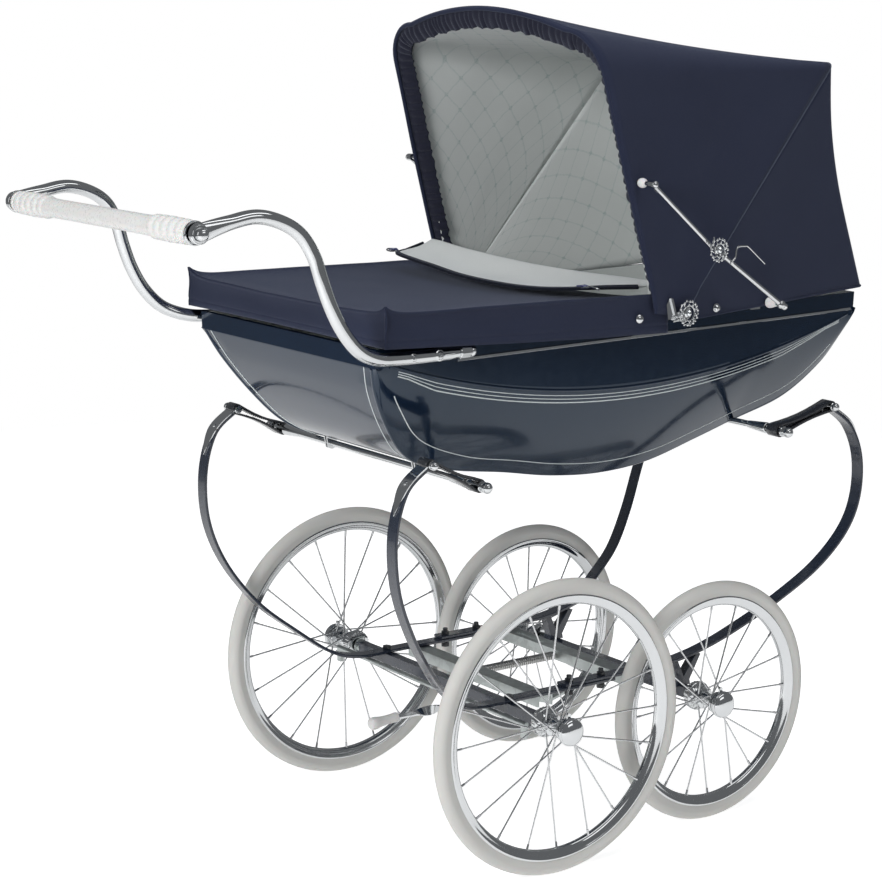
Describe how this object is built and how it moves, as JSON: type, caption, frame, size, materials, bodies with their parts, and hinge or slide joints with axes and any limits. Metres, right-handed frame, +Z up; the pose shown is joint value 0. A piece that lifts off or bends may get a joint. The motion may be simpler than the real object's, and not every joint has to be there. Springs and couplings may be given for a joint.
{
  "type": "baby carriage",
  "caption": "Coach-built baby carriage: sprung chassis on spoked wheels, deep gloss tub, folding hood, apron and bright tubular push handle.",
  "frame": {"origin": "on the ground, under the middle of the carriage's bounding box", "axes": "+X towards the hood end, -X towards the handle, +Y the left side for someone facing the hood end from the handle, +Z up"},
  "size_m": [1.202, 0.635, 1.2389],
  "materials": {
    "navy_steel": "gloss",
    "navy_coachwork": "moulded plywood, high-gloss navy lacquer",
    "chrome": "polished",
    "galvanised": "zinc plated, satin",
    "fixings": "semi gloss",
    "spring_steel": "satin",
    "strap_leather": "polished",
    "white_grip": "satin gloss",
    "tyre_rubber": "matte off-white",
    "navy_cloth": "woven, matte",
    "lining_cloth": "brushed cotton",
    "mattress_cover": "soft cotton",
    "bow_steel": "satin"
  },
  "bodies": {
    "chassis": {"rear_spring_left": "navy_steel", "rear_spring_right": "navy_steel", "front_spring_left": "navy_steel", "front_spring_right": "navy_steel", "spring_tip_fittings": "chrome", "rear_axle": "navy_steel", "front_axle": "navy_steel", "axle_risers": "navy_steel", "chassis_bolts": "fixings", "cross_members": "galvanised", "diagonal_strut": "galvanised", "tension_spring": "spring_steel", "strap_rear_left": "strap_leather", "strap_rear_right": "strap_leather", "strap_front_left": "strap_leather", "strap_front_right": "strap_leather"},
    "brake": {"brake_lever": "chrome", "brake_grip": "white_grip", "brake_shaft": "galvanised"},
    "wheel_rear_left": {"tyre_rear_left": "tyre_rubber", "rim_rear_left": "chrome", "spokes_rear_left": "chrome", "hub_rear_left": "chrome"},
    "wheel_rear_right": {"tyre_rear_right": "tyre_rubber", "rim_rear_right": "chrome", "spokes_rear_right": "chrome", "hub_rear_right": "chrome"},
    "wheel_front_left": {"tyre_front_left": "tyre_rubber", "rim_front_left": "chrome", "spokes_front_left": "chrome", "hub_front_left": "chrome"},
    "wheel_front_right": {"tyre_front_right": "tyre_rubber", "rim_front_right": "chrome", "spokes_front_right": "chrome", "hub_front_right": "chrome"},
    "carriage": {"tub_shell": "navy_coachwork", "tub_rail": "chrome", "mattress": "mattress_cover", "body_rods": "chrome", "handle_tube_left": "chrome", "handle_tube_right": "chrome", "handle_grip": "white_grip", "handle_fixings": "chrome", "apron": "navy_cloth", "apron_studs": "chrome", "hood_pivots": "chrome"},
    "flap": {"apron_flap": "lining_cloth"},
    "hood_rear": {"hood_rear_bow": "bow_steel", "hood_back": "navy_cloth"},
    "hood_front": {"hood_front_bow": "bow_steel", "hood_canopy": "navy_cloth", "hood_lining": "lining_cloth"},
    "arm_lower_left": {"hood_arm_lower_left": "chrome"},
    "arm_upper_left": {"hood_arm_upper_left": "chrome"},
    "catch_left": {"hood_catch_left": "chrome"},
    "knob_left": {"hood_knob_left": "chrome"},
    "arm_lower_right": {"hood_arm_lower_right": "chrome"},
    "arm_upper_right": {"hood_arm_upper_right": "chrome"},
    "catch_right": {"hood_catch_right": "chrome"},
    "knob_right": {"hood_knob_right": "chrome"}
  },
  "joints": [
    {"name": "rear_wheel_left_spin", "type": "hinge", "parent": "chassis", "child": "wheel_rear_left", "pos_m": [-0.015, 0, 0.22], "axis": [0, 1, 0], "continuous": true},
    {"name": "rear_wheel_right_spin", "type": "hinge", "parent": "chassis", "child": "wheel_rear_right", "pos_m": [-0.015, 0, 0.22], "axis": [0, 1, 0], "continuous": true},
    {"name": "front_wheel_left_spin", "type": "hinge", "parent": "chassis", "child": "wheel_front_left", "pos_m": [0.322, 0, 0.188], "axis": [0, 1, 0], "continuous": true},
    {"name": "front_wheel_right_spin", "type": "hinge", "parent": "chassis", "child": "wheel_front_right", "pos_m": [0.322, 0, 0.188], "axis": [0, 1, 0], "continuous": true},
    {"name": "brake_pedal", "type": "hinge", "parent": "chassis", "child": "brake", "pos_m": [-0.049, 0, 0.221], "axis": [0, -1, 0], "range_deg": [0, 25]},
    {"name": "body_bounce", "type": "slide", "parent": "chassis", "child": "carriage", "axis": [0, 0, 1], "range_m": [-0.02, 0.01], "stiffness_N_per_m": 12000, "springref_m": 0.0122, "deforming": ["strap_rear_left", "strap_rear_right", "strap_front_left", "strap_front_right"]},
    {"name": "flap_raise", "type": "hinge", "parent": "carriage", "child": "flap", "pos_m": [0.171, 0, 0.845], "axis": [0, 1, 0], "range_deg": [0, 70]},
    {"name": "hood_fold", "type": "hinge", "parent": "carriage", "child": "hood_rear", "pos_m": [0.214, 0, 0.804], "axis": [0, 1, 0], "range_deg": [0, 30], "deforming": ["hood_back"]},
    {"name": "hood_front_fold", "type": "hinge", "parent": "hood_rear", "child": "hood_front", "pos_m": [0.214, 0, 0.804], "axis": [0, 1, 0], "range_deg": [0, 55.5], "deforming": ["hood_canopy", "hood_lining"]},
    {"name": "iron_lower_left", "type": "hinge", "parent": "carriage", "child": "arm_lower_left", "pos_m": [0.381, 0, 0.806], "axis": [0, -1, 0], "range_deg": [0, 3.66]},
    {"name": "iron_elbow_left", "type": "hinge", "parent": "arm_lower_left", "child": "arm_upper_left", "pos_m": [0.247, 0, 0.896], "axis": [0, 1, 0], "range_deg": [0, 136.82]},
    {"name": "iron_catch_left", "type": "hinge", "parent": "arm_lower_left", "child": "catch_left", "pos_m": [0.27648, 0, 0.8762], "axis": [0, 1, 0], "range_deg": [0, 35]},
    {"name": "hood_knob_left_turn", "type": "hinge", "parent": "carriage", "child": "knob_left", "pos_m": [0.214, 0, 0.804], "axis": [0, 1, 0], "continuous": true},
    {"name": "iron_lower_right", "type": "hinge", "parent": "carriage", "child": "arm_lower_right", "pos_m": [0.381, 0, 0.806], "axis": [0, -1, 0], "range_deg": [0, 3.66]},
    {"name": "iron_elbow_right", "type": "hinge", "parent": "arm_lower_right", "child": "arm_upper_right", "pos_m": [0.247, 0, 0.896], "axis": [0, 1, 0], "range_deg": [0, 136.82]},
    {"name": "iron_catch_right", "type": "hinge", "parent": "arm_lower_right", "child": "catch_right", "pos_m": [0.27648, 0, 0.8762], "axis": [0, 1, 0], "range_deg": [0, 35]},
    {"name": "hood_knob_right_turn", "type": "hinge", "parent": "carriage", "child": "knob_right", "pos_m": [0.214, 0, 0.804], "axis": [0, 1, 0], "continuous": true}
  ],
  "couplings": [
    {"joint": "hood_front_fold", "follows": "hood_fold", "ratio": 1.8333},
    {"joint": "iron_lower_left", "follows": "hood_fold", "ratio": 0.11196},
    {"joint": "iron_elbow_left", "follows": "hood_fold", "ratio": 4.5439},
    {"joint": "iron_lower_right", "follows": "hood_fold", "ratio": 0.11196},
    {"joint": "iron_elbow_right", "follows": "hood_fold", "ratio": 4.5439}
  ]
}
